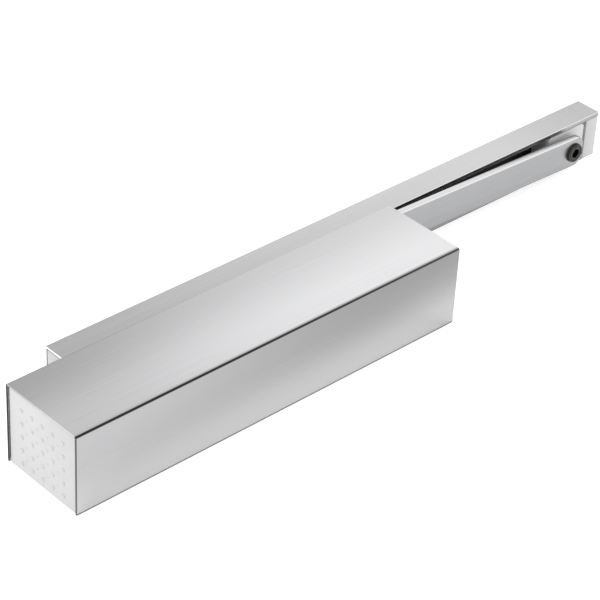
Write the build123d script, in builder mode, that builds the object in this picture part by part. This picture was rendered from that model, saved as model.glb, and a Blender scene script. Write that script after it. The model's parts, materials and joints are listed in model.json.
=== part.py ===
from build123d import *
from math import atan2, cos, degrees, hypot, pi, radians, sin
import os

# Slide-channel door closer, shown lying on its mounting face.
# X runs along the body towards the free end of the arm, Y from the body to the channel,
# Z away from the door. The origin is the centre of the body's fixing holes, on the mounting face.

os.makedirs("parts", exist_ok=True)

# Cover
body_length = 281
body_width = 60
body_height = 53
sheet = 1.2
sheet_bend = 1.8
half_length = body_length / 2
half_width = body_width / 2
cover_bottom = 0.8
cap_gap = 0.65
cap_plate = 2.3
cap_recess = 0.7

# Mounting plate and its holes
plate_thickness = 4
plate_length = 274
plate_width = 52
fixing_spacing_x = 220
fixing_spacing_y = 34
fixing_hole_radius = 2.75
fixing_head_radius = 5.3
housing_screw_x = 124
housing_screw_y = 17

# Hydraulic housing
housing_length = 236
housing_half_width = 25
housing_top = 49
flange_length = 260
flange_top = 16
bore_radius = 18
axis_height = 26
end_plug_length = 12
groove_depth = 1.5
groove_width = 2.4

# Spindle, heart cam and its followers
spindle_x = 49.5
journal_radius = 8
running_gap = 0.03
plug_gap = 0.05
bearing_radius = 12
bearing_length = 3.6
seal_length = 2.2
side_bore_radius = 18.5
square_side = 11.4
cam_half_width = 7
cam_base = 13.5
cam_lift = 3.6  # millimetres per radian of arm swing
cam_trim = 6  # degrees cut off each side of the cam's nose
roller_radius = 7
roller_half_width = 5.9
axle_radius = 3.5
slot_half_width = 7.5
piston_radius = bore_radius - 0.05
max_swing = 170
piston_travel = cam_lift * radians(max_swing)
closing_roller_x = spindle_x - cam_base
damping_roller_x = spindle_x + cam_base + cam_lift * pi

# Closing springs
spring_left = -96
spring_right = -3
spring_seat_thickness = 5
screw_thread_radius = 5
screw_collar_radius = 9

# Arm
arm_front = 40
arm_back = 45
arm_width = 21
hub_front = 34
hub_radius = 10.5
pin_x = 322.5
pin_z = 16
arm_overhang = 8.3
arm_corner = 7
arm_edge = 0.5

# Channel
channel_left = -87
channel_right = 353
channel_front = 48
channel_back = 66.5
channel_height = 32
slot_low = 4.5
slot_high = 28.8
cavity_low = 3
cavity_high = 29.7
cavity_front = 50
cavity_back = 62
cover_lip = 2.8
cap_thickness = 1.5
cap_plug = 9.5
cap_inset = 0.15
cap_top_gap = 0.8
cap_side_gap = 0.3
channel_hole_spacing = 330
channel_hole_radius = 2.65
channel_head_radius = 4.6
block_length = 34

channel_middle = (channel_left + channel_right) / 2


def facing_front(y):
    """Plane at the given Y whose normal looks towards -Y."""
    return Plane((0, y, 0), x_dir=(1, 0, 0), z_dir=(0, -1, 0))


def along(x):
    """Plane at the given X whose normal looks towards +X; its own X is the model's Y."""
    return Plane((x, 0, 0), x_dir=(0, 1, 0), z_dir=(1, 0, 0))


def save(piece, name):
    piece.label = name
    export_step(piece, f"parts/{name}.step")


def x_ring(x_low, x_high, outer, inner):
    """Ring round the piston bore's axis."""
    with BuildPart() as ring:
        with BuildSketch(along(x_low)):
            with Locations((0, axis_height)):
                Circle(outer)
                Circle(inner, mode=Mode.SUBTRACT)
        extrude(amount=x_high - x_low)
    return ring.part


def y_ring(y_low, y_high, centre, outer, inner):
    """Ring or, with no inner radius, a pin whose axis runs along Y."""
    with BuildPart() as ring:
        with BuildSketch(facing_front(y_high)):
            with Locations(centre):
                Circle(outer)
                if inner:
                    Circle(inner, mode=Mode.SUBTRACT)
        extrude(amount=y_high - y_low)
    return ring.part


def x_spring(x_low, x_high, coil_radius, wire_radius, turns):
    """Closed-end helical spring round the piston bore's axis."""
    lead = (x_high - x_low - 2 * wire_radius) / turns
    with BuildPart() as spring:
        with BuildLine() as path:
            Helix(
                pitch=lead,
                height=lead * turns,
                radius=coil_radius,
                center=(x_low + wire_radius, 0, axis_height),
                direction=(1, 0, 0),
            )
        with BuildSketch(Plane(path.line @ 0, z_dir=path.line % 0)):
            Circle(wire_radius)
        sweep(is_frenet=True)
    return spring.part


# ---------------------------------------------------------------- cover and end caps

spindle_notch = 9.5

with BuildPart() as cover:
    with BuildSketch(along(-half_length)):
        with BuildLine():
            outline = Polyline(
                (-half_width, cover_bottom),
                (-half_width, body_height),
                (half_width, body_height),
                (half_width, cover_bottom),
            )
            fillet(outline.vertices().group_by(Axis.Z)[-1], sheet_bend)
            offset(amount=-sheet, side=Side.RIGHT)
        make_face()
    extrude(amount=body_length)
    with BuildSketch(facing_front(half_width + 1)):
        with Locations((spindle_x, axis_height)):
            Circle(spindle_notch)
        with Locations((spindle_x, axis_height / 2 - 1)):
            Rectangle(2 * spindle_notch, axis_height + 2)
    extrude(amount=2 * sheet + 1, mode=Mode.SUBTRACT)
save(cover.part, "cover")

cap_half_width = half_width - sheet - cap_gap
cap_top = body_height - sheet - cap_gap
cap_bottom = 0.5
skirt_length = 6
skirt_wall = 1.3

with BuildPart() as end_cap_left:
    with BuildSketch(along(-half_length + cap_recess)):
        with Locations((0, (cap_bottom + cap_top) / 2)):
            RectangleRounded(2 * cap_half_width, cap_top - cap_bottom, 1.0)
    extrude(amount=cap_plate)
    with BuildSketch(along(-half_length + cap_recess + cap_plate)):
        with Locations((0, (cap_bottom + cap_top) / 2)):
            Rectangle(2 * cap_half_width - 0.6, cap_top - cap_bottom - 0.6)
        with Locations((0, (cap_bottom + cap_top) / 2 - skirt_wall)):
            Rectangle(2 * (cap_half_width - skirt_wall) - 0.6, cap_top - cap_bottom, mode=Mode.SUBTRACT)
    extrude(amount=skirt_length)
    chamfer(end_cap_left.faces().sort_by(Axis.X)[0].edges(), 0.3)
save(end_cap_left.part, "end_cap_left")
save(mirror(end_cap_left.part, about=Plane.YZ), "end_cap_right")

# ---------------------------------------------------------------- mounting plate

with BuildPart() as mounting_plate:
    with BuildSketch():
        RectangleRounded(plate_length, plate_width, 4)
    extrude(amount=plate_thickness)
    with Locations((0, 0, plate_thickness)):
        with GridLocations(fixing_spacing_x, fixing_spacing_y, 2, 2):
            CounterSinkHole(fixing_hole_radius, fixing_head_radius)
        with GridLocations(2 * housing_screw_x, 2 * housing_screw_y, 2, 2):
            Hole(3.02)
save(mounting_plate.part, "mounting_plate")

# ---------------------------------------------------------------- housing

valve_positions = (74, 88, 102)
valve_y = -20.5
valve_radius = 2.95
valve_depth = 12
key_half_width = 2
key_reach = 1.6
cam_chamber_radius = 18.3

with BuildPart() as housing:
    with BuildSketch(Plane.XY.offset(plate_thickness)):
        Rectangle(flange_length, 2 * housing_half_width)
    extrude(amount=flange_top - plate_thickness)
    with BuildSketch(Plane.XY.offset(flange_top)):
        Rectangle(housing_length, 2 * housing_half_width)
    extrude(amount=housing_top - flange_top)
    fillet(housing.edges().filter_by(Axis.X).group_by(Axis.Z)[-1], 5)
    fillet(housing.edges().filter_by(Axis.Z).filter_by_position(Axis.Z, 6, 15), 3)
    with BuildSketch(along(-flange_length)):
        with Locations((0, axis_height)):
            Circle(bore_radius)
    extrude(amount=2 * flange_length, mode=Mode.SUBTRACT)
    with BuildSketch(facing_front(0)):
        with Locations((spindle_x, axis_height)):
            Circle(cam_chamber_radius)
    extrude(amount=slot_half_width, both=True, mode=Mode.SUBTRACT)
    with BuildSketch(facing_front(0)):
        with Locations((spindle_x, axis_height)):
            Circle(side_bore_radius)
    extrude(amount=half_width, mode=Mode.SUBTRACT)
    with BuildSketch(facing_front(0)):
        with Locations((spindle_x, axis_height)):
            Circle(bearing_radius)
    extrude(amount=-half_width, mode=Mode.SUBTRACT)
    with Locations(Plane.XY.offset(flange_top)):
        with GridLocations(2 * housing_screw_x, 2 * housing_screw_y, 2, 2):
            Hole(3.3)
    with Locations([(x, valve_y, housing_top) for x in valve_positions]):
        Hole(valve_radius + running_gap, depth=valve_depth)
    with BuildSketch(along(-housing_length / 2 + end_plug_length)):
        with Locations((0, axis_height - bore_radius)):
            Rectangle(2 * key_half_width + 0.2, 2 * (key_reach + 0.2))
    extrude(amount=24, mode=Mode.SUBTRACT)
save(housing.part, "housing")

head_height = 6
with BuildPart() as housing_screws:
    with Locations((0, 0, flange_top)):
        with GridLocations(2 * housing_screw_x, 2 * housing_screw_y, 2, 2):
            Cylinder(5, head_height, align=(Align.CENTER, Align.CENTER, Align.MIN))
            Cylinder(3, flange_top - 0.5, align=(Align.CENTER, Align.CENTER, Align.MAX))
    chamfer(housing_screws.faces().group_by(Axis.Z)[-1].edges(), 0.5)
    with BuildSketch(Plane.XY.offset(flange_top + head_height)):
        with GridLocations(2 * housing_screw_x, 2 * housing_screw_y, 2, 2):
            RegularPolygon(2.5, 6, major_radius=False)
    extrude(amount=-3, mode=Mode.SUBTRACT)
save(housing_screws.part, "housing_screws")

clip_x = 95
with BuildPart() as cover_clips:
    for side in (-1, 1):
        with BuildSketch(Plane.XZ.offset(-side * (housing_half_width + 1.9))):
            with GridLocations(2 * clip_x, 0, 2, 1):
                with Locations((0, 12)):
                    RectangleRounded(16, 12, 2)
        extrude(amount=1.75, both=True)
    chamfer(cover_clips.edges().filter_by(Axis.X).group_by(Axis.Z)[-1], 0.8)
save(cover_clips.part, "cover_clips")

# ---------------------------------------------------------------- end plugs and seals

seal_outer = bore_radius
seal_inner = bore_radius - 1.8


def end_plug(name, x_low, groove_x, socket_face, socket_radius, through):
    """Threaded bore closure with a sealing groove and a tool socket or a screw hole."""
    with BuildPart() as plug:
        with BuildSketch(along(x_low)):
            with Locations((0, axis_height)):
                Circle(bore_radius - plug_gap)
        extrude(amount=end_plug_length)
        with BuildSketch(along(groove_x)):
            with Locations((0, axis_height)):
                Circle(bore_radius + 1)
                Circle(seal_inner, mode=Mode.SUBTRACT)
        extrude(amount=groove_width, mode=Mode.SUBTRACT)
        if through:
            with BuildSketch(along(x_low)):
                with Locations((0, axis_height)):
                    Circle(screw_thread_radius + running_gap)
            extrude(amount=end_plug_length, mode=Mode.SUBTRACT)
            with BuildSketch(along(x_low)):
                with Locations((0, axis_height)):
                    with PolarLocations(12, 2):
                        Circle(2)
            extrude(amount=5, mode=Mode.SUBTRACT)
        else:
            with BuildSketch(along(socket_face)):
                with Locations((0, axis_height)):
                    RegularPolygon(socket_radius, 6, major_radius=False)
            extrude(amount=-6, mode=Mode.SUBTRACT)
    save(plug.part, name)


left_face = -housing_length / 2
right_face = housing_length / 2
left_groove = left_face + 8
right_groove = right_face - 8 - groove_width
end_plug("end_plug_left", left_face, left_groove, left_face, 0, True)
end_plug("end_plug_right", right_face - end_plug_length, right_groove, right_face, 7, False)

with BuildPart() as end_plug_seals:
    for groove in (left_groove, right_groove):
        add(x_ring(groove + 0.1, groove + groove_width - 0.1, seal_outer, seal_inner + 0.05))
save(end_plug_seals.part, "end_plug_seals")

# ---------------------------------------------------------------- spindle bearings

spindle_point = (spindle_x, axis_height)
inner_face = bore_radius + 0.2
bearing_end = inner_face + 0.1 + bearing_length

with BuildPart() as bearing_plug:
    add(y_ring(-housing_half_width, -inner_face, spindle_point, side_bore_radius - plug_gap, 0))
    with BuildSketch(facing_front(-inner_face)):
        with Locations(spindle_point):
            Circle(bearing_radius)
    extrude(amount=bearing_length + 0.2, mode=Mode.SUBTRACT)
    with BuildSketch(facing_front(-housing_half_width)):
        with Locations(spindle_point):
            with PolarLocations(13, 2):
                Circle(2)
    extrude(amount=-2.5, mode=Mode.SUBTRACT)
save(bearing_plug.part, "bearing_plug")

bearing_inner = journal_radius + running_gap
bearing_outer = bearing_radius - plug_gap
save(
    y_ring(-bearing_end + 0.1, -inner_face, spindle_point, bearing_outer, bearing_inner),
    "spindle_bearing_front",
)
save(
    y_ring(inner_face, bearing_end, spindle_point, bearing_outer, bearing_inner),
    "spindle_bearing_back",
)
save(
    y_ring(bearing_end + 0.2, bearing_end + 0.2 + seal_length, spindle_point, bearing_outer, bearing_inner),
    "spindle_seal",
)

# ---------------------------------------------------------------- heart cam spindle


def cam_flank(turn):
    """Point on the cam's flank: the path of the roller's centre, moved in by its radius."""
    reach = cam_base + cam_lift * turn
    length = hypot(reach, cam_lift)
    normal_x = (reach * cos(turn) + cam_lift * sin(turn)) / length
    normal_z = (reach * sin(turn) - cam_lift * cos(turn)) / length
    inset = roller_radius + running_gap
    return (reach * cos(turn) - inset * normal_x, reach * sin(turn) - inset * normal_z)


flank_steps = 24
flank_end = pi - radians(cam_trim)
flank = [cam_flank(flank_end * step / flank_steps) for step in range(flank_steps + 1)]

# The notch points to -X at rest, where the closing roller sits in it.
upper_flank = [(spindle_x - x, axis_height + z) for x, z in flank]
lower_flank = [(spindle_x - x, axis_height - z) for x, z in flank]
notch_bottom = (spindle_x - cam_base + roller_radius + running_gap, axis_height)
nose_tip = (spindle_x + hypot(*flank[-1]) + 0.1, axis_height)
shaft_end = -bearing_end + 0.4

with BuildPart() as camshaft:
    with BuildSketch(facing_front(cam_half_width)):
        with BuildLine():
            Spline(*upper_flank)
            ThreePointArc(upper_flank[-1], nose_tip, lower_flank[-1])
            Spline(*reversed(lower_flank))
            ThreePointArc(lower_flank[0], notch_bottom, upper_flank[0])
        make_face()
    extrude(amount=2 * cam_half_width)
    for journal_start, journal_end in ((shaft_end, -cam_half_width), (cam_half_width, hub_front)):
        with BuildSketch(facing_front(journal_end)):
            with Locations(spindle_point):
                Circle(journal_radius)
        extrude(amount=journal_end - journal_start)
    chamfer(camshaft.faces().sort_by(Axis.Y)[0].edges(), 0.6)
    chamfer(camshaft.faces().sort_by(Axis.Y)[-1].edges(), 0.6)
    with BuildSketch(facing_front(hub_front - 0.3)):
        with Locations(spindle_point):
            Rectangle(square_side, square_side)
    extrude(amount=-(arm_front + 1.5 - hub_front))
    with BuildSketch(facing_front(arm_front + 1.2)):
        with Locations(spindle_point):
            Circle(3.05)
    extrude(amount=18, mode=Mode.SUBTRACT)
save(camshaft.part, "camshaft")

# ---------------------------------------------------------------- pistons and rollers

shaft_clearance = journal_radius + 0.6

with BuildPart() as closing_piston:
    with BuildSketch(along(spring_right)):
        with Locations((0, axis_height)):
            Circle(piston_radius)
    extrude(amount=spindle_x - 6 - spring_right)
    with BuildSketch(facing_front(0)):
        with Locations((closing_roller_x + 10, axis_height)):
            Rectangle(2 * (10 + roller_radius + 1), 4 * bore_radius)
    extrude(amount=slot_half_width, both=True, mode=Mode.SUBTRACT)
    with BuildSketch(facing_front(0)):
        with Locations(spindle_point):
            Circle(shaft_clearance)
        with Locations((closing_roller_x, axis_height)):
            Circle(axle_radius + 0.02)
    extrude(amount=bore_radius, both=True, mode=Mode.SUBTRACT)
    chamfer(closing_piston.faces().sort_by(Axis.X)[0].edges(), 1)
save(closing_piston.part, "closing_piston")

damping_left = 64
damping_right = 100
pocket_radius = 12.5
pocket_depth = 10

with BuildPart() as damping_piston:
    with BuildSketch(along(damping_left)):
        with Locations((0, axis_height)):
            Circle(piston_radius)
    extrude(amount=damping_right - damping_left)
    with BuildSketch(facing_front(0)):
        with Locations((damping_roller_x - 10, axis_height)):
            Rectangle(2 * (10 + roller_radius + 1), 4 * bore_radius)
    extrude(amount=slot_half_width, both=True, mode=Mode.SUBTRACT)
    with BuildSketch(facing_front(0)):
        with Locations((spindle_x + piston_travel, axis_height)):
            Circle(shaft_clearance)
        with Locations((damping_roller_x, axis_height)):
            Circle(axle_radius + 0.02)
    extrude(amount=bore_radius, both=True, mode=Mode.SUBTRACT)
    with BuildSketch(along(damping_right)):
        with Locations((0, axis_height)):
            Circle(pocket_radius)
    extrude(amount=-pocket_depth, mode=Mode.SUBTRACT)
    with BuildSketch(along(damping_right - 6)):
        with Locations((0, axis_height)):
            Circle(bore_radius + 1)
            Circle(piston_radius - groove_depth, mode=Mode.SUBTRACT)
    extrude(amount=groove_width, mode=Mode.SUBTRACT)
save(damping_piston.part, "damping_piston")
save(
    x_ring(
        damping_right - 5.9,
        damping_right - 6.1 + groove_width,
        bore_radius - running_gap,
        piston_radius - groove_depth + 0.05,
    ),
    "damping_piston_seal",
)

axle_half_length = 15.5
for follower, centre_x in (("closing", closing_roller_x), ("damping", damping_roller_x)):
    centre = (centre_x, axis_height)
    roller = y_ring(-roller_half_width, roller_half_width, centre, roller_radius, axle_radius + 0.05)
    save(roller, f"{follower}_roller")
    axle = y_ring(-axle_half_length, axle_half_length, centre, axle_radius, 0)
    save(chamfer(axle.edges(), 0.4), f"{follower}_roller_axle")

# ---------------------------------------------------------------- springs and force adjustment

save(x_spring(spring_left + 0.1, spring_right - 0.1, 14.6, 2.3, 10), "closing_spring_outer")
save(x_spring(spring_left + 0.1, spring_right - 0.1, 8.6, 1.6, 14), "closing_spring_inner")
return_spring_left = damping_right - pocket_depth
return_spring_right = right_face - end_plug_length
save(
    x_spring(return_spring_left + 0.1, return_spring_right - 0.1, 10.4, 1.0, 4),
    "damping_return_spring",
)

seat_left = spring_left - spring_seat_thickness
with BuildPart() as spring_seat:
    with BuildSketch(along(seat_left)):
        with Locations((0, axis_height)):
            Circle(bore_radius - 0.3)
        with Locations((0, axis_height - bore_radius)):
            Rectangle(2 * key_half_width, 2 * key_reach)
    extrude(amount=spring_seat_thickness)
    with BuildSketch(along(spring_left)):
        with Locations((0, axis_height)):
            Circle(6.6)
    extrude(amount=8)
    with BuildSketch(along(seat_left)):
        with Locations((0, axis_height)):
            Circle(screw_thread_radius + running_gap)
    extrude(amount=20, mode=Mode.SUBTRACT)
save(spring_seat.part, "spring_seat")

collar_left = left_face + end_plug_length + 0.1
with BuildPart() as force_adjusting_screw:
    with BuildSketch(along(left_face + 1)):
        with Locations((0, axis_height)):
            Circle(screw_thread_radius)
    extrude(amount=40)
    with BuildSketch(along(collar_left)):
        with Locations((0, axis_height)):
            Circle(screw_collar_radius)
    extrude(amount=3)
    with BuildSketch(along(left_face + 1)):
        with Locations((0, axis_height)):
            RegularPolygon(2.5, 6, major_radius=False)
    extrude(amount=6, mode=Mode.SUBTRACT)
save(force_adjusting_screw.part, "force_adjusting_screw")

# ---------------------------------------------------------------- regulating valves

valve_names = ("closing_speed_valve", "latching_speed_valve", "backcheck_valve")
valve_length = 10
for name, valve_x in zip(valve_names, valve_positions):
    with BuildPart() as valve:
        with BuildSketch(Plane((valve_x, valve_y, housing_top - 0.6))):
            Circle(valve_radius)
        extrude(amount=-valve_length)
        chamfer(valve.faces().sort_by(Axis.Z)[0].edges(), 1.6)
        with BuildSketch(Plane((valve_x, valve_y, housing_top - 0.6))):
            Rectangle(2 * valve_radius + 1, 1)
        extrude(amount=-1.2, mode=Mode.SUBTRACT)
    save(valve.part, name)

# ---------------------------------------------------------------- arm

arm_run = pin_x - spindle_x
arm_drop = pin_z - axis_height
arm_length = hypot(arm_run, arm_drop)
arm_angle = degrees(atan2(arm_drop, arm_run))
arm_plane = Plane(
    (spindle_x, arm_back, axis_height),
    x_dir=(cos(radians(arm_angle)), 0, sin(radians(arm_angle))),
    z_dir=(0, -1, 0),
)
blade_length = arm_length + arm_overhang

with BuildPart() as arm:
    with BuildSketch(arm_plane):
        Circle(hub_radius)
        with Locations((blade_length / 2, 0)):
            Rectangle(blade_length, arm_width)
        fillet(vertices().group_by(Axis.X)[-1], arm_corner)
        with Locations((arm_length, 0)):
            Circle(6.02, mode=Mode.SUBTRACT)
    extrude(amount=arm_back - arm_front)
    chamfer(arm.faces().filter_by(Axis.Y).sort_by(Axis.Y)[0].edges(), arm_edge)
    chamfer(arm.faces().filter_by(Axis.Y).sort_by(Axis.Y)[-1].edges(), arm_edge)
    with BuildSketch(facing_front(arm_front)):
        with Locations(spindle_point):
            Circle(hub_radius - arm_edge)
    extrude(amount=arm_front - hub_front)
    with BuildSketch(facing_front(arm_front + 1.3)):
        with Locations(spindle_point):
            Rectangle(square_side + 0.05, square_side + 0.05)
    extrude(amount=arm_front - hub_front + 2, mode=Mode.SUBTRACT)
    with Locations(Plane((spindle_x, arm_back, axis_height), x_dir=(-1, 0, 0), z_dir=(0, 1, 0))):
        CounterSinkHole(3.2, 6.2, depth=20, counter_sink_angle=90)
save(arm.part, "arm")

screw_head_radius = 5.7
with BuildPart() as arm_screw:
    with BuildSketch(Plane.XY):
        with BuildLine():
            Polyline(
                (0, arm_back - 0.2),
                (screw_head_radius, arm_back - 0.2),
                (screw_head_radius, arm_back - 0.4),
                (3.0, arm_back - 0.4 - (screw_head_radius - 3.0)),
                (3.0, arm_front - 14),
                (0, arm_front - 14),
                close=True,
            )
        make_face()
    revolve(axis=Axis.Y)
    with BuildSketch(facing_front(arm_back - 0.2)):
        RegularPolygon(2, 6, major_radius=False)
    extrude(amount=2.6, mode=Mode.SUBTRACT)
save(arm_screw.part.translate((spindle_x, 0, axis_height)), "arm_screw")

pin_point = (pin_x, pin_z)
pin_radius = 4
save(y_ring(arm_front + 0.02, arm_back, pin_point, 6, pin_radius + running_gap), "arm_bush")

# ---------------------------------------------------------------- slide block and its pivot

head_radius = 6.3
head_proud = 1.6
with BuildPart() as pivot_screw:
    add(y_ring(arm_front - head_proud, arm_front - 0.05, pin_point, head_radius, 0))
    chamfer(pivot_screw.faces().sort_by(Axis.Y)[0].edges(), 0.4)
    add(y_ring(arm_front - 0.2, cavity_front + 8, pin_point, pin_radius, 0))
    with BuildSketch(facing_front(arm_front - head_proud)):
        with Locations(pin_point):
            RegularPolygon(3, 6, major_radius=False)
    extrude(amount=-4, mode=Mode.SUBTRACT)
save(pivot_screw.part, "pivot_screw")

save(y_ring(arm_back + 0.1, arm_back + 1.1, pin_point, 7.5, pin_radius + 0.02), "pivot_washer")

block_low = cavity_low + 0.3
block_high = cavity_high - 0.3
block_middle = (block_low + block_high) / 2
nose_low = slot_low + 0.3
nose_high = slot_high - 0.3
nose_middle = (nose_low + nose_high) / 2
pad_thickness = 1
pad_length = 26
pad_width = 6

with BuildPart() as slide_block:
    with BuildSketch(facing_front(cavity_back - 0.3)):
        with Locations((pin_x, block_middle)):
            RectangleRounded(block_length, block_high - block_low, 1.5)
    extrude(amount=cavity_back - cavity_front - 0.6)
    with BuildSketch(facing_front(cavity_front + 0.4)):
        with Locations((pin_x, nose_middle)):
            RectangleRounded(block_length, nose_high - nose_low, 3)
    extrude(amount=cavity_front + 0.4 - channel_front - 0.3)
    add(y_ring(arm_back + 1.1, channel_front + 0.5, pin_point, 7.5, 0))
    for pad_z in (block_low, block_high):
        with BuildSketch(Plane.XY.offset(pad_z)):
            with Locations((pin_x, (cavity_front + cavity_back) / 2)):
                Rectangle(pad_length, pad_width)
        extrude(amount=pad_thickness, both=True, mode=Mode.SUBTRACT)
    with BuildSketch(facing_front(arm_back)):
        with Locations(pin_point):
            Circle(pin_radius + 0.02)
    extrude(amount=-(cavity_front + 8.5 - arm_back), mode=Mode.SUBTRACT)
save(slide_block.part, "slide_block")

with BuildPart() as glide_pads:
    for pad_z, direction in ((block_low - 0.15, 1), (block_high + 0.15, -1)):
        with BuildSketch(Plane.XY.offset(pad_z)):
            with Locations((pin_x, (cavity_front + cavity_back) / 2)):
                RectangleRounded(pad_length - 0.2, pad_width - 0.2, 0.8)
        extrude(amount=direction * (pad_thickness + 0.1))
save(glide_pads.part, "glide_pads")

# ---------------------------------------------------------------- slide channel

clip_wall = 1.2
channel_top = channel_height - clip_wall - 0.1
inner_left = channel_left + cap_inset + cap_thickness + 0.1
inner_right = channel_right - cap_inset - cap_thickness - 0.1
web_back = channel_back - clip_wall - 0.1
lip_seat = channel_front + clip_wall + 0.1
lip_bottom = channel_height - cover_lip - 0.1

with BuildPart() as slide_channel:
    with BuildSketch(along(inner_left)):
        with BuildLine():
            Polyline(
                (channel_front, 0),
                (web_back, 0),
                (web_back, channel_top),
                (lip_seat, channel_top),
                (lip_seat, lip_bottom),
                (channel_front, lip_bottom),
                (channel_front, slot_high),
                (cavity_front, slot_high),
                (cavity_front, cavity_high),
                (cavity_back, cavity_high),
                (cavity_back, cavity_low),
                (cavity_front, cavity_low),
                (cavity_front, slot_low),
                (channel_front, slot_low),
                close=True,
            )
        make_face()
    extrude(amount=inner_right - inner_left)
    with Locations((channel_middle, (cavity_front + cavity_back) / 2, cavity_low)):
        with GridLocations(channel_hole_spacing, 1, 2, 1):
            CounterSinkHole(channel_hole_radius, channel_head_radius)
    with BuildSketch(Plane.XY.offset(cavity_high - 1)):
        with Locations((channel_middle, (cavity_front + cavity_back) / 2)):
            with GridLocations(channel_hole_spacing, 1, 2, 1):
                Circle(channel_head_radius + 0.5)
    extrude(amount=channel_height, mode=Mode.SUBTRACT)
    with BuildSketch(facing_front(cavity_front)):
        for end_x in (channel_left, channel_right):
            with Locations((end_x, lip_bottom / 2)):
                Rectangle(2 * (cap_inset + cap_thickness + cap_plug + 0.2), lip_bottom)
    extrude(amount=cavity_front - channel_front, mode=Mode.SUBTRACT)
save(slide_channel.part, "slide_channel")

with BuildPart() as channel_cover:
    with BuildSketch(along(channel_left)):
        with BuildLine():
            Polyline(
                (channel_front, channel_height - cover_lip),
                (channel_front, channel_height),
                (channel_back, channel_height),
                (channel_back, 0.2),
                (channel_back - clip_wall, 0.2),
                (channel_back - clip_wall, channel_height - clip_wall),
                (channel_front + clip_wall, channel_height - clip_wall),
                (channel_front + clip_wall, channel_height - cover_lip),
                close=True,
            )
        make_face()
    extrude(amount=channel_right - channel_left)
    corner = channel_cover.edges().filter_by(Axis.X).group_by(Axis.Z)[-1]
    fillet(corner, 0.6)
save(channel_cover.part, "channel_cover")

plug_low = cavity_low + 0.15
plug_high = lip_bottom - 0.1


def channel_cap(end_x, inward):
    """End cap: a plate inside the strip's end, with a front plate and a plug in the cavity."""
    with BuildPart() as cap:
        with BuildSketch(along(end_x)):
            with BuildLine():
                Polyline(
                    (channel_front, 0),
                    (web_back - cap_side_gap, 0),
                    (web_back - cap_side_gap, channel_height - clip_wall - cap_top_gap),
                    (lip_seat + cap_side_gap, channel_height - clip_wall - cap_top_gap),
                    (lip_seat + cap_side_gap, plug_high),
                    (channel_front, plug_high),
                    close=True,
                )
            make_face()
        extrude(amount=inward * cap_thickness)
        with BuildSketch(along(end_x)):
            with Locations(((channel_front + cavity_front) / 2 - 0.05, plug_high / 2)):
                Rectangle(cavity_front - channel_front - 0.1, plug_high)
            with Locations(((cavity_front + cavity_back) / 2 - 0.15, (plug_low + plug_high) / 2)):
                Rectangle(cavity_back - cavity_front - 0.1, plug_high - plug_low)
        extrude(amount=inward * (cap_plug + cap_thickness))
    return cap.part


save(channel_cap(channel_left + cap_inset, 1), "channel_cap_left")
save(channel_cap(channel_right - cap_inset, -1), "channel_cap_right")

buffer_thickness = 2.5
with BuildPart() as stop_buffer:
    with BuildSketch(along(channel_left + cap_inset + cap_thickness + cap_plug + 0.02)):
        with Locations(((cavity_front + cavity_back) / 2, block_middle)):
            RectangleRounded(9, 20, 2)
    extrude(amount=buffer_thickness)
save(stop_buffer.part, "stop_buffer")
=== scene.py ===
import json
from math import cos, pi, radians, sin

import bmesh
import bpy
from mathutils import Euler, Matrix, Vector


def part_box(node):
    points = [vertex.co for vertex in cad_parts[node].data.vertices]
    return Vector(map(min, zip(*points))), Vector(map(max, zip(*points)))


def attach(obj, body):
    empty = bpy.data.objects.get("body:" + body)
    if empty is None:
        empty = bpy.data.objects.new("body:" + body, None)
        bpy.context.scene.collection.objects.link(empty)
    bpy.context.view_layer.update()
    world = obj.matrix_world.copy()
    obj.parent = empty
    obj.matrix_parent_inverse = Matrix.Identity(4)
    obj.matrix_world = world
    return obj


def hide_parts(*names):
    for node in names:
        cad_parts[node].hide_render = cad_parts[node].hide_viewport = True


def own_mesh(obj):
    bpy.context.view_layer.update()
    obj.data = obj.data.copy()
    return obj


# Slide-channel door closer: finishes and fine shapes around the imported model.
# Lengths in the dictionaries are millimetres. Meshes, lights and the camera's place are in metres.

mm = 0.001
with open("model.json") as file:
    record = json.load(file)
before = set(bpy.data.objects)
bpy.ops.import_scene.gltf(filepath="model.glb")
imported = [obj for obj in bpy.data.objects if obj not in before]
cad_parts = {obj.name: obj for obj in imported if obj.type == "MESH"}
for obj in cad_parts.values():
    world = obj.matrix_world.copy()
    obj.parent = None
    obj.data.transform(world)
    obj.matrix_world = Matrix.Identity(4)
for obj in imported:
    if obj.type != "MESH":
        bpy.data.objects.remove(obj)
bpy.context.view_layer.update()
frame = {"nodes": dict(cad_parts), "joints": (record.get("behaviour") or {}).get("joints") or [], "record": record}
scene = bpy.context.scene
print("frame loaded:", len(frame["nodes"]), "nodes")


# Node graphs: one class for shader trees and geometry trees

class Wire:
    # a node's output socket that can be used in sums
    def __init__(self, graph, socket):
        self.graph = graph
        self.socket = socket

    def __add__(self, other):
        return self.graph.maths("ADD", self, other)

    def __sub__(self, other):
        return self.graph.maths("SUBTRACT", self, other)

    def __rsub__(self, other):
        return self.graph.maths("SUBTRACT", other, self)

    def __mul__(self, other):
        return self.graph.maths("MULTIPLY", self, other)

    def __truediv__(self, other):
        return self.graph.maths("DIVIDE", self, other)

    __radd__ = __add__
    __rmul__ = __mul__


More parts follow.
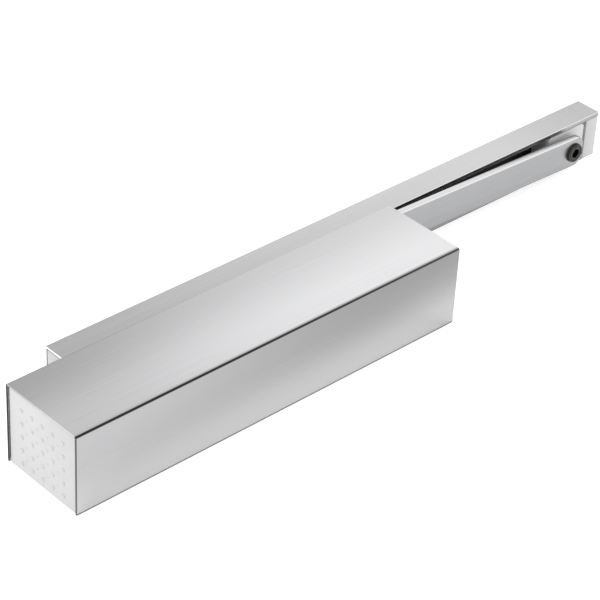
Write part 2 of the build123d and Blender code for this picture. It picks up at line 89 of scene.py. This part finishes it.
class Graph:
    def __init__(self, tree):
        self.tree = tree

    def add(self, kind, settings=None, sockets=None, out=0):
        node = self.tree.nodes.new(kind)
        for key, value in (settings or {}).items():
            setattr(node, key, value)
        for key, value in (sockets or {}).items():
            if isinstance(value, Wire):
                self.tree.links.new(value.socket, node.inputs[key])
            else:
                node.inputs[key].default_value = value
        return Wire(self, node.outputs[out]) if node.outputs else node

    def maths(self, operation, first, second):
        return self.add("ShaderNodeMath", {"operation": operation}, {0: first, 1: second})

    def clamp01(self, value):
        return self.add("ShaderNodeMath", {"operation": "ADD", "use_clamp": True}, {0: value, 1: 0.0})

    def above(self, value, limit, soft):
        # 0 up to the limit, 1 once it is passed by the soft width
        return self.clamp01((value - limit) / soft)

    def below(self, value, limit, soft):
        return self.clamp01((limit - value) / soft)

    def ramp(self, value, low, high):
        # 0 at low, 1 at high, smooth in between
        settings = {"interpolation_type": "SMOOTHSTEP"}
        return self.add("ShaderNodeMapRange", settings, {0: value, 1: low, 2: high, 3: 0.0, 4: 1.0})

    def mix(self, factor, first, second):
        return self.add("ShaderNodeMix", {"data_type": "RGBA"}, {0: factor, 6: first, 7: second}, out=2)


class Finish(Graph):
    # a material around one Principled shader
    def __init__(self, name, **constants):
        self.material = bpy.data.materials.new(name)
        self.material.use_nodes = True
        super().__init__(self.material.node_tree)
        self.tree.nodes.clear()
        self.shader = self.tree.nodes.new("ShaderNodeBsdfPrincipled")
        outlet = self.tree.nodes.new("ShaderNodeOutputMaterial")
        self.tree.links.new(self.shader.outputs[0], outlet.inputs[0])
        for key, value in constants.items():
            self.shader.inputs[key.replace("_", " ")].default_value = value
        self.place = self.add("ShaderNodeTexCoord", out=3)

    def feed(self, key, wire):
        self.tree.links.new(wire.socket, self.shader.inputs[key])

    def axes(self):
        split = self.add("ShaderNodeSeparateXYZ", None, {0: self.place})
        outputs = split.socket.node.outputs
        return [Wire(self, outputs[axis]) for axis in range(3)]

    def noise(self, scale, detail=2.0, stretch=(1, 1, 1)):
        spot = self.add("ShaderNodeMapping", None, {"Vector": self.place, "Scale": stretch})
        return self.add("ShaderNodeTexNoise", None, {"Vector": spot, "Scale": scale, "Detail": detail})

    def bump(self, height, distance, strength):
        sockets = {"Height": height, "Distance": distance, "Strength": strength}
        self.feed("Normal", self.add("ShaderNodeBump", None, sockets))


def grey(value, tint=(1, 1, 1)):
    return (value * tint[0], value * tint[1], value * tint[2], 1)


coolTint = (0.985, 0.985, 1.0)
warmTint = (1.0, 0.99, 0.975)


# Finishes

brush = {"lineWidth": 0.18, "lineLength": 50, "streakWidth": 2.4, "streakLength": 160, "depth": 0.002}


def brushedMetal(name, value, roughness, tint=coolTint, contrast=0.04):
    # satin steel, brushed along X: fine hairlines, broader streaks and slow patches
    finish = Finish(name, Metallic=1.0)
    fine = (1 / brush["lineLength"], 1 / brush["lineWidth"], 1 / brush["lineWidth"])
    broad = (1 / brush["streakLength"], 1 / brush["streakWidth"], 1 / brush["streakWidth"])
    hair = finish.noise(1 / mm, 3.0, fine)
    streak = finish.noise(1 / mm, 2.0, broad)
    patch = finish.noise(14.0, 3.0)
    finish.colour = finish.mix(
        finish.ramp(hair * 0.5 + streak * 0.3 + patch * 0.2, 0.35, 0.65),
        grey(value * (1 - contrast), tint), grey(value * (1 + contrast), tint)
    )
    finish.feed("Base Color", finish.colour)
    finish.gloss = roughness - 0.05 + streak * 0.06 + hair * 0.05
    finish.feed("Roughness", finish.gloss)
    finish.bump(hair, brush["depth"] * mm, 0.35)
    return finish


def bareMetal(name, value, roughness, tint=(1, 1, 1), grain=900.0, depth=0.01, contrast=0.12):
    # cast, turned or plated metal with an even grain and dull patches
    finish = Finish(name, Metallic=1.0)
    grains = finish.noise(grain, 2.0)
    patch = finish.noise(38.0, 4.0)
    finish.feed("Base Color", finish.mix(
        finish.ramp(grains * 0.35 + patch * 0.65, 0.35, 0.65),
        grey(value * (1 - contrast), tint), grey(value * (1 + contrast), tint)
    ))
    finish.feed("Roughness", roughness + patch * 0.14 - 0.07)
    finish.bump(grains, depth * mm, 0.5)
    return finish


def mouldedPlastic(name, value, roughness, tint=(1, 1, 1), grain=1500.0, depth=0.012, contrast=0.03):
    # light satin plastic with a fine mould grain
    finish = Finish(name, IOR=1.48)
    grains = finish.noise(grain, 2.0)
    patch = finish.noise(25.0, 3.0)
    finish.feed("Base Color", finish.mix(
        finish.ramp(patch * 0.7 + grains * 0.3, 0.35, 0.65),
        grey(value * (1 - contrast), tint), grey(value * (1 + contrast), tint)
    ))
    finish.feed("Roughness", roughness + grains * 0.08 - 0.04)
    finish.bump(grains, depth * mm, 0.6)
    return finish


cover = {
    "value": 0.46, "roughness": 0.25, "contrast": 0.025,
    # painted dark lines: a painted dark reflection along the bends, and painted shade on the cut upright edges and
    # at the foot of both walls
    "darkValue": 0.03, "darkTint": (1.0, 0.82, 0.8), "bendRadius": 1.8, "lineStart": 0.42,
    "lineThinning": 0.3, "lineSoft": 0.4, "sheet": 1.2, "cutDepth": 0.4, "cutSoft": 0.1,
    "frontCut": 0.8, "footHeight": 0.95, "footSoft": 0.2, "footShare": 0.85,
    # how far the painted shade falls off over the top and the front, and where, and the painted light at the
    # front's foot
    "topShadeLeft": 0.31, "topShadeRight": 0.22, "topShadeFrom": -20, "topShadeTo": 30,
    "frontShadeLeft": 0.19, "frontShadeRight": 0.36, "frontLift": 0.20, "liftTop": 36, "liftValue": 0.8,
}


# painted shade: dark lines for the dark reflection along the bends and for the shade in the gaps at the cut edges
# and the foot
def coverPaintedLines(finish, low, high):
    x, y, z = finish.axes()
    thinning = finish.ramp(x, low.x, high.x) * cover["lineThinning"]
    inward = (thinning + cover["lineStart"]) * mm
    acrossY = finish.maths("ABSOLUTE", y, 0.0)
    radius = cover["bendRadius"] * mm
    side = finish.above(acrossY - inward, high.y - radius, cover["lineSoft"] * mm)
    top = finish.above(z - inward, high.z - radius, cover["lineSoft"] * mm)
    cutSoft = cover["cutSoft"] * mm
    upright = finish.above(acrossY, high.y - cover["sheet"] * mm - cutSoft, cutSoft)
    leftEnd = finish.below(x, low.x + cover["cutDepth"] * mm, cutSoft)
    backMore = finish.ramp(y, 0.0, high.y) * (1 - cover["frontCut"]) + cover["frontCut"]
    foot = finish.below(z, low.z + cover["footHeight"] * mm, cover["footSoft"] * mm) * cover["footShare"]
    lines = finish.maths("MAXIMUM", side * top, upright * leftEnd * backMore)
    return finish.maths("MAXIMUM", lines, foot)


def coverPaintedShade(finish, low, high):
    # painted shade and light: the top darkens towards its back, the front towards its upper right, and its foot is
    # painted lighter
    x, y, z = finish.axes()
    span = finish.ramp(x, low.x, high.x)
    onTop = finish.ramp(z, high.z - 3 * mm, high.z - 1 * mm)
    onFront = finish.ramp(y, low.y + 3 * mm, low.y + 1 * mm)
    topShade = finish.ramp(y, cover["topShadeFrom"] * mm, cover["topShadeTo"] * mm) * (
        span * (cover["topShadeRight"] - cover["topShadeLeft"]) + cover["topShadeLeft"]
    )
    frontShade = span * finish.ramp(z, low.z, high.z) * cover["frontShadeRight"] + cover["frontShadeLeft"]
    lift = (1.0 - finish.ramp(z, low.z, cover["liftTop"] * mm)) * cover["frontLift"]
    shaded = finish.mix(onTop * topShade, finish.colour, grey(0))
    shaded = finish.mix(onFront * frontShade, shaded, grey(0))
    return finish.mix(onFront * lift, shaded, grey(cover["liftValue"]))


def coverSteel():
    finish = brushedMetal("coverSteel", cover["value"], cover["roughness"], contrast=cover["contrast"])
    low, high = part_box("cover")
    lines = coverPaintedLines(finish, low, high)
    paintedShade = coverPaintedShade(finish, low, high)
    finish.feed("Base Color", finish.mix(lines, paintedShade, grey(cover["darkValue"], cover["darkTint"])))
    finish.feed("Roughness", finish.gloss + lines * 0.2)
    return finish


strip = {
    "value": 0.365, "roughness": 0.28, "edgeWidth": 0.45, "edgeSoft": 0.2, "edgeValue": 0.72,
    "cutDepth": 0.3, "cutSoft": 0.1, "shadeFrom": 250, "shade": 0.22,
}


def channelSteel():
    # brushed strip with a painted highlight along its front top edge, a lighter cut end, and painted shade darker
    # towards the far end
    finish = brushedMetal("channelSteel", strip["value"], strip["roughness"])
    low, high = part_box("channel_cover")
    x, y, z = finish.axes()
    farShade = finish.ramp(x, strip["shadeFrom"] * mm, high.x) * strip["shade"]
    shaded = finish.mix(farShade, finish.colour, grey(0))
    width = strip["edgeWidth"] * mm
    soft = strip["edgeSoft"] * mm
    frontEdge = finish.above(z, high.z - width, soft) * finish.below(y, low.y + width, soft)
    cutEnd = finish.below(x, low.x + strip["cutDepth"] * mm, strip["cutSoft"] * mm)
    highlightAndCut = finish.maths("MAXIMUM", frontEdge, cutEnd)
    finish.feed("Base Color", finish.mix(highlightAndCut, shaded, grey(strip["edgeValue"])))
    return finish


extrusion = {
    "value": 0.3, "roughness": 0.4, "insideValue": 0.05, "frontLip": 0.6, "backWall": 0.6, "soft": 0.4,
}


def channelAluminium():
    # mill-finish extrusion, with painted shade inside the slot
    finish = brushedMetal("channelAluminium", extrusion["value"], extrusion["roughness"])
    low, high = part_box("slide_channel")
    y = finish.axes()[1]
    soft = extrusion["soft"] * mm
    behindLips = finish.above(y, low.y + extrusion["frontLip"] * mm, soft)
    beforeBack = finish.below(y, high.y - extrusion["backWall"] * mm, soft)
    finish.feed("Base Color", finish.mix(
        behindLips * beforeBack, finish.colour, grey(extrusion["insideValue"], warmTint)
    ))
    return finish


armBar = {
    "value": 0.315, "roughness": 0.3, "tint": (0.975, 0.98, 1.0), "halfWidth": 10.5,
    "sideDepth": 0.2, "sideValue": 0.44, "rimWidth": 0.5, "rimDepth": 0.7, "rimValue": 0.72, "soft": 0.2,
}


def armSteel():
    # satin flat bar with painted light on its narrow sides and a painted highlight along the upper edge of its
    # front face
    finish = brushedMetal("armSteel", armBar["value"], armBar["roughness"], armBar["tint"])
    pivots = {joint["name"]: Vector(joint["pos_m"]) for joint in frame["joints"] if "pos_m" in joint}
    start, end = pivots["arm_swing"], pivots["block_pivot"]
    run = Vector((end.x - start.x, 0, end.z - start.z)).normalized()
    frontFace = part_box("arm_bush")[0].y
    x, y, z = finish.axes()
    across = z * run.x - x * run.z - (start.z * run.x - start.x * run.z)
    off = finish.maths("ABSOLUTE", across, 0.0)
    soft = armBar["soft"] * mm
    side = finish.above(off, (armBar["halfWidth"] - armBar["sideDepth"]) * mm, soft)
    rimHighlight = finish.above(across, (armBar["halfWidth"] - armBar["rimWidth"]) * mm, soft)
    face = finish.below(y, frontFace + armBar["rimDepth"] * mm, soft)
    shaded = finish.mix(side, finish.colour, grey(armBar["sideValue"]))
    finish.feed("Base Color", finish.mix(rimHighlight * face, shaded, grey(armBar["rimValue"])))
    return finish


finishes = {
    "cover_steel": coverSteel(),
    "cap_plastic": mouldedPlastic("capPlastic", 0.43, 0.33),
    "plate_steel": bareMetal("plateSteel", 0.42, 0.38, coolTint),
    "housing_aluminium": bareMetal("housingAluminium", 0.5, 0.5, grain=600.0, depth=0.05),
    "screw_steel": bareMetal("screwSteel", 0.45, 0.32, coolTint),
    "clip_plastic": mouldedPlastic("clipPlastic", 0.03, 0.5),
    "plug_steel": bareMetal("plugSteel", 0.38, 0.3),
    "seal_rubber": mouldedPlastic("sealRubber", 0.015, 0.6),
    "bearing_bronze": bareMetal("bearingBronze", 0.5, 0.35, (1.0, 0.72, 0.42)),
    "hardened_steel": bareMetal("hardenedSteel", 0.42, 0.22, coolTint),
    "piston_aluminium": bareMetal("pistonAluminium", 0.55, 0.3),
    "spring_steel": bareMetal("springSteel", 0.22, 0.35, coolTint),
    "valve_brass": bareMetal("valveBrass", 0.6, 0.28, (1.0, 0.78, 0.42)),
    "arm_steel": armSteel(),
    "black_screw": bareMetal("blackOxide", 0.045, 0.34, warmTint, contrast=0.3),
    "block_plastic": mouldedPlastic("blockPlastic", 0.5, 0.45),
    "pad_plastic": mouldedPlastic("padPlastic", 0.7, 0.4),
    "channel_aluminium": channelAluminium(),
    "channel_steel": channelSteel(),
}
slotOfNode = {entry["node"]: entry["material_slot"] for entry in frame["record"]["subparts"]}
bodyOfNode = {
    node: body for body, members in frame["record"]["behaviour"]["bodies"].items() for node in members
}


def paint(piece, slot):
    piece.data.materials.clear()
    piece.data.materials.append(finishes[slot].material)


for node, piece in frame["nodes"].items():
    piece.data.materials.clear()
    piece.data.materials.append(finishes[slotOfNode[node]].material)
print("finishes made:", len(finishes))


# Mesh helpers

def newPiece(name, mesh):
    piece = bpy.data.objects.new(name, mesh)
    scene.collection.objects.link(piece)
    return piece


def bake(piece):
    # the piece with its modifiers applied, as a plain mesh
    bpy.context.view_layer.update()
    graph = bpy.context.evaluated_depsgraph_get()
    mesh = bpy.data.meshes.new_from_object(piece.evaluated_get(graph))
    piece.modifiers.clear()
    old = piece.data
    piece.data = mesh
    bpy.data.meshes.remove(old)
    return piece


def place(piece, node):
    # the piece stands for that node, on its body and in its finish
    paint(piece, slotOfNode[node])
    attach(piece, bodyOfNode[node])
    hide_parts(node)
    return piece


def outward(mesh):
    # merges doubled corners and turns every face outwards
    work = bmesh.new()
    work.from_mesh(mesh)
    bmesh.ops.remove_doubles(work, verts=work.verts, dist=0.0005 * mm)
    bmesh.ops.recalc_face_normals(work, faces=work.faces)
    work.to_mesh(mesh)
    work.free()


def smoothByAngle(mesh, degrees):
    # smooth faces, with edges past the angle left sharp
    work = bmesh.new()
    work.from_mesh(mesh)
    for face in work.faces:
        face.smooth = True
    for edge in work.edges:
        edge.smooth = len(edge.link_faces) == 2 and edge.calc_face_angle(0) < radians(degrees)
    work.to_mesh(mesh)
    work.free()


sharpAngle = 34  # edges past this many degrees are rounded or left sharp
edgeRadius = {
    "cover": 0.16, "end_cap_left": 0.35, "end_cap_right": 0.35, "mounting_plate": 0.4, "housing": 0.5,
    "arm": 0.3, "arm_screw": 0.15, "bearing_plug": 0.2, "slide_block": 0.35, "slide_channel": 0.14,
    "channel_cover": 0.16, "channel_cap_left": 0.4, "channel_cap_right": 0.4, "camshaft": 0.15,
    "end_plug_left": 0.2, "end_plug_right": 0.2, "cover_clips": 0.3, "closing_piston": 0.2,
    "damping_piston": 0.2, "spring_seat": 0.3, "pivot_washer": 0.12,
}


def softenEdges(node, radius):
    # a copy of the node with its sharp edges rounded
    mesh = frame["nodes"][node].data.copy()
    work = bmesh.new()
    work.from_mesh(mesh)
    bmesh.ops.remove_doubles(work, verts=work.verts, dist=0.0005 * mm)
    bmesh.ops.dissolve_limit(
        work, angle_limit=radians(0.5), verts=work.verts, edges=work.edges, use_dissolve_boundaries=False
    )
    work.to_mesh(mesh)
    work.free()
    piece = newPiece(node + "_piece", mesh)
    rounding = piece.modifiers.new("rounding", "BEVEL")
    rounding.width = radius * mm
    rounding.segments = 2
    rounding.limit_method = "ANGLE"
    rounding.angle_limit = radians(sharpAngle)
    rounding.use_clamp_overlap = True
    rounding.miter_outer = "MITER_ARC"
    bake(piece)
    smoothByAngle(piece.data, sharpAngle)
    return place(piece, node)


for node, radius in edgeRadius.items():
    softenEdges(node, radius)
print("edges rounded on", len(edgeRadius), "nodes")


# Geometry node recipes

class Recipe(Graph):
    # a geometry tree with named inputs, ending in Realize Instances and Set Material
    def __init__(self, name, inputs):
        tree = bpy.data.node_groups.new(name, "GeometryNodeTree")
        super().__init__(tree)
        kinds = {int: "NodeSocketInt", float: "NodeSocketFloat", tuple: "NodeSocketVector"}
        self.identifiers = {}
        for key, value in inputs.items():
            socket = tree.interface.new_socket(key, in_out="INPUT", socket_type=kinds[type(value)])
            socket.default_value = value
            self.identifiers[key] = socket.identifier
        tree.interface.new_socket("Geometry", in_out="OUTPUT", socket_type="NodeSocketGeometry")
        self.inlet = tree.nodes.new("NodeGroupInput")
        self.inputs = inputs

    def __getitem__(self, key):
        return Wire(self, self.inlet.outputs[key])

    def end(self, geometry, slot):
        real = self.add("GeometryNodeRealizeInstances", None, {0: geometry})
        painted = self.add("GeometryNodeSetMaterial", None, {0: real, 2: finishes[slot].material})
        outlet = self.tree.nodes.new("NodeGroupOutput")
        self.tree.links.new(painted.socket, outlet.inputs[0])

    def grow(self, name):
        # runs the tree on an empty mesh and returns the result as a plain piece
        piece = newPiece(name, bpy.data.meshes.new(name))
        modifier = piece.modifiers.new(name, "NODES")
        modifier.node_group = self.tree
        for key, value in self.inputs.items():
            modifier[self.identifiers[key]] = value
        return bake(piece)


# Raised dots on the end caps: a square field, with small dots between the large ones

dotField = {
    "columns": 5, "rows": 5, "pitch": 8.85, "lowestRow": 5.85,
    "dotRadius": 1.45, "dotHeight": 0.62, "smallShare": 0.5, "sink": 0.05,
}


def capDots(side):
    node = "end_cap_left" if side < 0 else "end_cap_right"
    low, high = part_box(node)
    face = low.x if side < 0 else high.x
    pitch = dotField["pitch"] * mm
    recipe = Recipe("capDots", {
        "Columns": dotField["columns"], "Rows": dotField["rows"], "Pitch": pitch,
        "Dot Size": (dotField["dotRadius"] * mm, dotField["dotRadius"] * mm, dotField["dotHeight"] * mm),
        "Small Share": dotField["smallShare"],
        "Face": (face - side * dotField["sink"] * mm, 0.0, dotField["lowestRow"] * mm + 2 * pitch),
    })
    ball = recipe.add("GeometryNodeMeshUVSphere", None, {"Segments": 20, "Rings": 12, "Radius": 1.0})
    dome = recipe.add("GeometryNodeTransform", None, {"Geometry": ball, "Scale": recipe["Dot Size"]})
    smooth = recipe.add("GeometryNodeSetShadeSmooth", None, {0: dome})
    fields = []
    for less, share in ((0, (1, 1, 1)), (1, recipe["Small Share"])):
        columns = recipe["Columns"] - less
        rows = recipe["Rows"] - less
        grid = recipe.add("GeometryNodeMeshGrid", None, {
            "Size X": (rows - 1) * recipe["Pitch"], "Size Y": (columns - 1) * recipe["Pitch"],
            "Vertices X": rows, "Vertices Y": columns,
        })
        fields.append(recipe.add("GeometryNodeInstanceOnPoints", None, {
            "Points": grid, "Instance": smooth, "Scale": share,
        }))
    both = recipe.add("GeometryNodeJoinGeometry")
    for field in fields:
        recipe.tree.links.new(field.socket, both.socket.node.inputs[0])
    stood = recipe.add("GeometryNodeTransform", None, {
        "Geometry": both, "Rotation": Euler((0, side * pi / 2, 0)), "Translation": recipe["Face"],
    })
    recipe.end(stood, "cap_plastic")
    piece = recipe.grow("cap_dots_left" if side < 0 else "cap_dots_right")
    paint(piece, "cap_plastic")
    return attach(piece, bodyOfNode[node])


for side in (-1, 1):
    capDots(side)
print("end cap dots made")


# Coil springs: closed coils at both ends, open ones between

coil = {"closedTurns": 1.25, "closedPitch": 2.02, "stepsPerTurn": 32, "wireSides": 12}  # pitch in wire radii
springs = {
    "closing_spring_outer": {"wire": 2.3, "turns": 10.0},
    "closing_spring_inner": {"wire": 1.6, "turns": 14.0},
    "damping_return_spring": {"wire": 1.0, "turns": 5.0},
}


def coilSpring(node, wire, turns, first=0.0, last=1.0, part="coil"):
    # the share of the coil from first to last, so that each half can close up by itself
    low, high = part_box(node)
    centre = (low + high) / 2
    coilRadius = (high.y - low.y) / 2 - wire * mm
    length = high.x - low.x - 2 * wire * mm
    recipe = Recipe("coilSpring", {
        "Turns": turns, "Coil Radius": coilRadius, "Wire Radius": wire * mm, "Length": length,
        "Start": (low.x + wire * mm, centre.y, centre.z), "Closed Turns": coil["closedTurns"],
        "First": first, "Last": last, "Steps": int(turns * coil["stepsPerTurn"] * (last - first)),
    })
    line = recipe.add("GeometryNodeCurvePrimitiveLine")
    path = recipe.add("GeometryNodeResampleCurve", None, {"Curve": line, "Count": recipe["Steps"]})
    along = recipe.add("GeometryNodeSplineParameter") * (recipe["Last"] - recipe["First"]) + recipe["First"]
    angle = along * recipe["Turns"] * (2 * pi)
    closedShare = recipe["Closed Turns"] / recipe["Turns"]
    closedLength = recipe["Turns"] * recipe["Wire Radius"] * coil["closedPitch"]
    opening = recipe.ramp(along, closedShare, 1 - closedShare)
    reach = along * closedLength + opening * (recipe["Length"] - closedLength)
    sideways = recipe.maths("COSINE", angle, 0.0) * recipe["Coil Radius"]
    upwards = recipe.maths("SINE", angle, 0.0) * recipe["Coil Radius"]
    spot = recipe.add("ShaderNodeCombineXYZ", None, {0: reach, 1: sideways, 2: upwards})
    bent = recipe.add("GeometryNodeSetPosition", None, {"Geometry": path, "Position": spot})
    ring = recipe.add("GeometryNodeCurvePrimitiveCircle", None, {
        "Resolution": coil["wireSides"], "Radius": recipe["Wire Radius"],
    })
    rod = recipe.add("GeometryNodeCurveToMesh", None, {
        "Curve": bent, "Profile Curve": ring, "Fill Caps": True,
    })
    moved = recipe.add("GeometryNodeTransform", None, {"Geometry": rod, "Translation": recipe["Start"]})
    smooth = recipe.add("GeometryNodeSetShadeSmooth", None, {0: moved})
    recipe.end(smooth, "spring_steel")
    piece = recipe.grow(node + "_" + part)
    outward(piece.data)
    return place(piece, node)


def closingSpring(node, wire, turns):
    # between two parts that both move: wound as two halves, each with a mesh of its own
    seatHalf = coilSpring(node, wire, turns, 0.0, 0.5, "seat_half")
    pistonHalf = coilSpring(node, wire, turns, 0.5, 1.0, "piston_half")
    for piece, joint in ((seatHalf, "spring_seat_slide"), (pistonHalf, "closing_piston_slide")):
        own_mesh(piece)


for node, sizes in springs.items():
    wind = closingSpring if node.startswith("closing") else coilSpring
    wind(node, sizes["wire"], sizes["turns"])
print("springs wound")


# Socket screws

def hexReach(angle, apothem):
    # distance from the middle of a hexagon to its side
    return apothem / cos((angle + pi / 6) % (pi / 3) - pi / 6)


def turnedScrew(name, loops, segments=48):
    # closed shell from loops of (radius, height, is it a hexagon); ends close on their centres
    work = bmesh.new()
    rings = []
    for radius, height, sixSided in loops:
        ring = []
        for step in range(segments):
            angle = 2 * pi * step / segments
            reach = hexReach(angle, radius) if sixSided else radius
            ring.append(work.verts.new((reach * mm * cos(angle), reach * mm * sin(angle), height * mm)))
        rings.append(ring)
    for lower, upper in zip(rings, rings[1:]):
        for step in range(segments):
            following = (step + 1) % segments
            work.faces.new((lower[step], lower[following], upper[following], upper[step]))
    for ring, height in ((rings[0], loops[0][1]), (rings[-1], loops[-1][1])):
        middle = work.verts.new((0, 0, height * mm))
        for step in range(segments):
            work.faces.new((ring[step], ring[(step + 1) % segments], middle))
    bmesh.ops.recalc_face_normals(work, faces=work.faces)
    mesh = bpy.data.meshes.new(name)
    work.to_mesh(mesh)
    work.free()
    smoothByAngle(mesh, 32)
    return mesh


def headLoops(shankRadius, shankLength, headRadius, headHeight, socket, socketDepth, ring=0.0):
    # from the shank's tip, up under the head, over its edge and down into the socket; z = 0 under the head
    edge = 0.35
    loops = [
        (shankRadius - 0.5, -shankLength, False), (shankRadius, -shankLength + 0.5, False),
        (shankRadius, -0.15, False), (shankRadius + 0.15, 0, False), (headRadius - 0.2, 0, False),
        (headRadius, 0.2, False), (headRadius, headHeight - edge, False),
        (headRadius - 0.1, headHeight - 0.1, False), (headRadius - edge, headHeight, False),
    ]
    if ring:
        loops += [
            (ring + 0.35, headHeight, False), (ring + 0.2, headHeight - 0.3, False),
            (ring - 0.2, headHeight - 0.3, False), (ring - 0.35, headHeight, False),
        ]
    loops += [
        (socket * 1.2, headHeight, False), (socket * 1.155, headHeight - 0.08, False),
        (socket, headHeight - 0.25, True), (socket, headHeight - socketDepth, True),
        (socket * 0.45, headHeight - socketDepth - 0.6, False),
    ]
    return loops


pivot = {
    "headRadius": 6.25, "headHeight": 1.55, "shankRadius": 3.98, "shankLength": 17.8,
    "socket": 3.0, "socketDepth": 3.2, "ring": 5.0,
}


def pivotScrew():
    low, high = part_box("pivot_screw")
    centre = (low + high) / 2
    mesh = turnedScrew("pivot_screw_turned", headLoops(
        pivot["shankRadius"], pivot["shankLength"], pivot["headRadius"], pivot["headHeight"],
        pivot["socket"], pivot["socketDepth"], pivot["ring"]
    ))
    underHead = low.y + pivot["headHeight"] * mm
    turn = Matrix.Rotation(pi / 2, 4, "X") @ Matrix.Rotation(radians(12), 4, "Z")
    mesh.transform(Matrix.Translation((centre.x, underHead, centre.z)) @ turn)
    return place(newPiece("pivot_screw_turned", mesh), "pivot_screw")


pivotScrew()

housingScrew = {
    "headRadius": 5.0, "headHeight": 6.0, "shankRadius": 2.98, "shankLength": 15.4,
    "socket": 2.5, "socketDepth": 3.0,
}


def housingScrews():
    low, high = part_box("housing_screws")
    model = newPiece("housing_screw_model", turnedScrew("housing_screw_model", headLoops(
        housingScrew["shankRadius"], housingScrew["shankLength"], housingScrew["headRadius"],
        housingScrew["headHeight"], housingScrew["socket"], housingScrew["socketDepth"]
    ), 24))
    inset = housingScrew["headRadius"] * mm
    underHead = high.z - housingScrew["headHeight"] * mm
    recipe = Recipe("housingScrews", {
        "Spacing X": high.x - low.x - 2 * inset, "Spacing Y": high.y - low.y - 2 * inset,
        "Seat": (0.0, 0.0, underHead),
    })
    grid = recipe.add("GeometryNodeMeshGrid", None, {
        "Size X": recipe["Spacing X"], "Size Y": recipe["Spacing Y"], "Vertices X": 2, "Vertices Y": 2,
    })
    source = recipe.add("GeometryNodeObjectInfo", None, {0: model}, out=4)
    row = recipe.add("GeometryNodeInstanceOnPoints", None, {"Points": grid, "Instance": source})
    seated = recipe.add("GeometryNodeTransform", None, {"Geometry": row, "Translation": recipe["Seat"]})
    recipe.end(seated, "screw_steel")
    piece = recipe.grow("housing_screws_turned")
    bpy.data.objects.remove(model)
    return place(piece, "housing_screws")


housingScrews()
print("screws turned")


# Floor, light and camera

floor = {"halfSize": 4000, "drop": 0.05, "dark": 0.62, "light": 0.65, "glow": 0.65}


def floorSheet():
    finish = Finish("floorPaint", Emission_Color=(1, 1, 1, 1), Emission_Strength=floor["glow"])
    patch = finish.noise(3.0, 3.0)
    tone = finish.ramp(patch, 0.3, 0.7)
    finish.feed("Base Color", finish.mix(tone, grey(floor["dark"]), grey(floor["light"])))
    finish.feed("Roughness", 0.8 + patch * 0.1)
    mesh = bpy.data.meshes.new("floor")
    half = floor["halfSize"] * mm
    drop = -floor["drop"] * mm
    corners = [(-half, -half, drop), (half, -half, drop), (half, half, drop), (-half, half, drop)]
    mesh.from_pydata(corners, [], [(0, 1, 2, 3)])
    mesh.materials.append(finish.material)
    newPiece("floor", mesh)


floorSheet()

studio = {
    "sky": 1.15, "skyLow": 1.3,
    "softbox": {"towards": (0.72, 0.50, 0.48), "edge": 0.84, "middle": 1.0, "gain": 0.55},
    "panels": [
        # name, place, size, watts
        ("panelTop", (-0.2, -0.3, 1.6), 1.4, 6.0),
        ("panelLeft", (-0.95, 0.45, 0.75), 0.22, 3.5),
    ],
    "aim": (0.05, 0.0, 0.02),
}


def light():
    world = bpy.data.worlds.new("studio")
    scene.world = world
    world.use_nodes = True
    graph = Graph(world.node_tree)
    world.node_tree.nodes.clear()
    ray = graph.add("ShaderNodeTexCoord", out=0)
    split = graph.add("ShaderNodeSeparateXYZ", None, {0: ray}, out=2)
    height = graph.ramp(split, 0.0, 0.9)
    box = studio["softbox"]
    towards = Vector(box["towards"]).normalized()
    facing = graph.add("ShaderNodeVectorMath", {"operation": "DOT_PRODUCT"}, {0: ray, 1: towards}, out=1)
    glow = graph.ramp(facing, box["edge"], box["middle"]) * box["gain"]
    strength = studio["skyLow"] + height * (studio["sky"] - studio["skyLow"]) + glow
    back = graph.add("ShaderNodeBackground", None, {0: (1, 1, 1, 1), 1: strength})
    outlet = world.node_tree.nodes.new("ShaderNodeOutputWorld")
    world.node_tree.links.new(back.socket, outlet.inputs[0])
    for name, spot, size, watts in studio["panels"]:
        lamp = bpy.data.lights.new(name, "AREA")
        lamp.shape = "SQUARE"
        lamp.size = size
        lamp.energy = watts
        panel = bpy.data.objects.new(name, lamp)
        panel.location = spot
        panel.rotation_euler = (Vector(spot) - Vector(studio["aim"])).to_track_quat("Z", "Y").to_euler()
        scene.collection.objects.link(panel)
    scene.view_settings.view_transform = "Standard"


light()

view = {
    "place": (-0.7247, -0.7865, 0.8053), "azimuth": -44.30, "elevation": 34.76, "roll": 3.28, "lens": 141.93,
}


def aimCamera():
    data = bpy.data.cameras.new("camera")
    data.lens = view["lens"]
    data.sensor_width = 36
    data.clip_start = 0.01
    camera = bpy.data.objects.new("camera", data)
    scene.collection.objects.link(camera)
    azimuth = Matrix.Rotation(radians(view["azimuth"]), 4, "Z")
    tilt = Matrix.Rotation(radians(90 - view["elevation"]), 4, "X")
    roll = Matrix.Rotation(radians(view["roll"]), 4, "Z")
    camera.matrix_world = Matrix.Translation(view["place"]) @ azimuth @ tilt @ roll
    scene.camera = camera


aimCamera()
print("studio ready")
